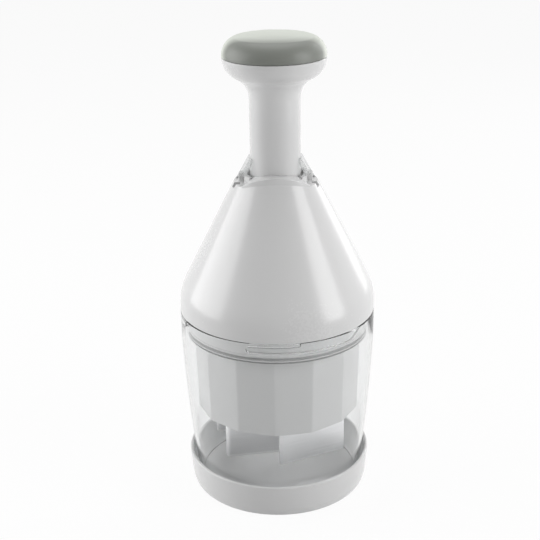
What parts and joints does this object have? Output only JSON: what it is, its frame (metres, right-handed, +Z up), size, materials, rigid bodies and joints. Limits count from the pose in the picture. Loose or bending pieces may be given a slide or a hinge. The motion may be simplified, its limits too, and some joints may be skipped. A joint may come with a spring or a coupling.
{
  "type": "plunger food chopper",
  "caption": "Hand chopper with a sprung palm plunger, zigzag blade in a faceted drum, cone hood, clear container and dish.",
  "frame": {"origin": "centre of the dish's flat underside, on the vertical axis of the whole tool", "axes": "+Z up along the plunger, -Y towards the front, +X to the right as seen from the front"},
  "size_m": [0.1, 0.1, 0.2383],
  "materials": {
    "white_shell": "glossy white moulded plastic",
    "clear_plastic": "clear moulded plastic",
    "steel": "satin stainless steel",
    "grey_grip": "matte soft grey grip",
    "white_dish": "satin white moulded plastic",
    "white_inner": "white moulded plastic"
  },
  "bodies": {
    "dish": {"base_dish": "white_dish"},
    "container": {"clear_container": "clear_plastic"},
    "hood": {"hood_shell": "white_shell", "neck_collar": "clear_plastic", "neck_bush": "white_shell", "bearing_plate": "white_inner", "twist_nut": "white_inner", "drum_ring": "white_inner", "lower_spring_washer": "steel", "return_spring": "steel", "plate_screw_1": "steel", "plate_screw_2": "steel", "plate_screw_3": "steel"},
    "plunger": {"plunger_stem": "white_shell", "stem_foot": "white_inner", "shaft_washer": "steel", "grip_cap": "grey_grip", "cap_carrier": "white_inner", "upper_spring_washer": "steel"},
    "blade_unit": {"drive_shaft": "steel", "shaft_clip": "steel", "blade_carrier": "white_inner", "zigzag_blade": "steel", "carrier_rivet_1": "steel", "carrier_rivet_2": "steel"},
    "drum": {"wiper_drum": "white_inner", "wiper_plate": "white_inner"}
  },
  "joints": [
    {"name": "container_lift", "type": "slide", "parent": "dish", "child": "container", "axis": [0, 0, 1], "range_m": [0, 0.06]},
    {"name": "hood_turn", "type": "hinge", "parent": "container", "child": "hood", "pos_m": [0, 0, 0.0989], "axis": [0, 0, 1], "range_deg": [0, 78]},
    {"name": "plunger_press", "type": "slide", "parent": "hood", "child": "plunger", "axis": [0, 0, 1], "range_m": [-0.017, 0.025], "stiffness_N_per_m": 600, "springref_m": 0.035, "deforming": ["return_spring"]},
    {"name": "blade_turn", "type": "hinge", "parent": "plunger", "child": "blade_unit", "pos_m": [0, 0, 0.069], "axis": [0, 0, 1], "range_deg": [-18.5, 27]},
    {"name": "drum_turn", "type": "hinge", "parent": "hood", "child": "drum", "pos_m": [0, 0, 0.092], "axis": [0, 0, 1], "range_deg": [-18.5, 27]}
  ],
  "couplings": [
    {"joint": "blade_turn", "follows": "plunger_press", "rad_per_m": 18.699},
    {"joint": "drum_turn", "follows": "plunger_press", "rad_per_m": 18.699}
  ]
}
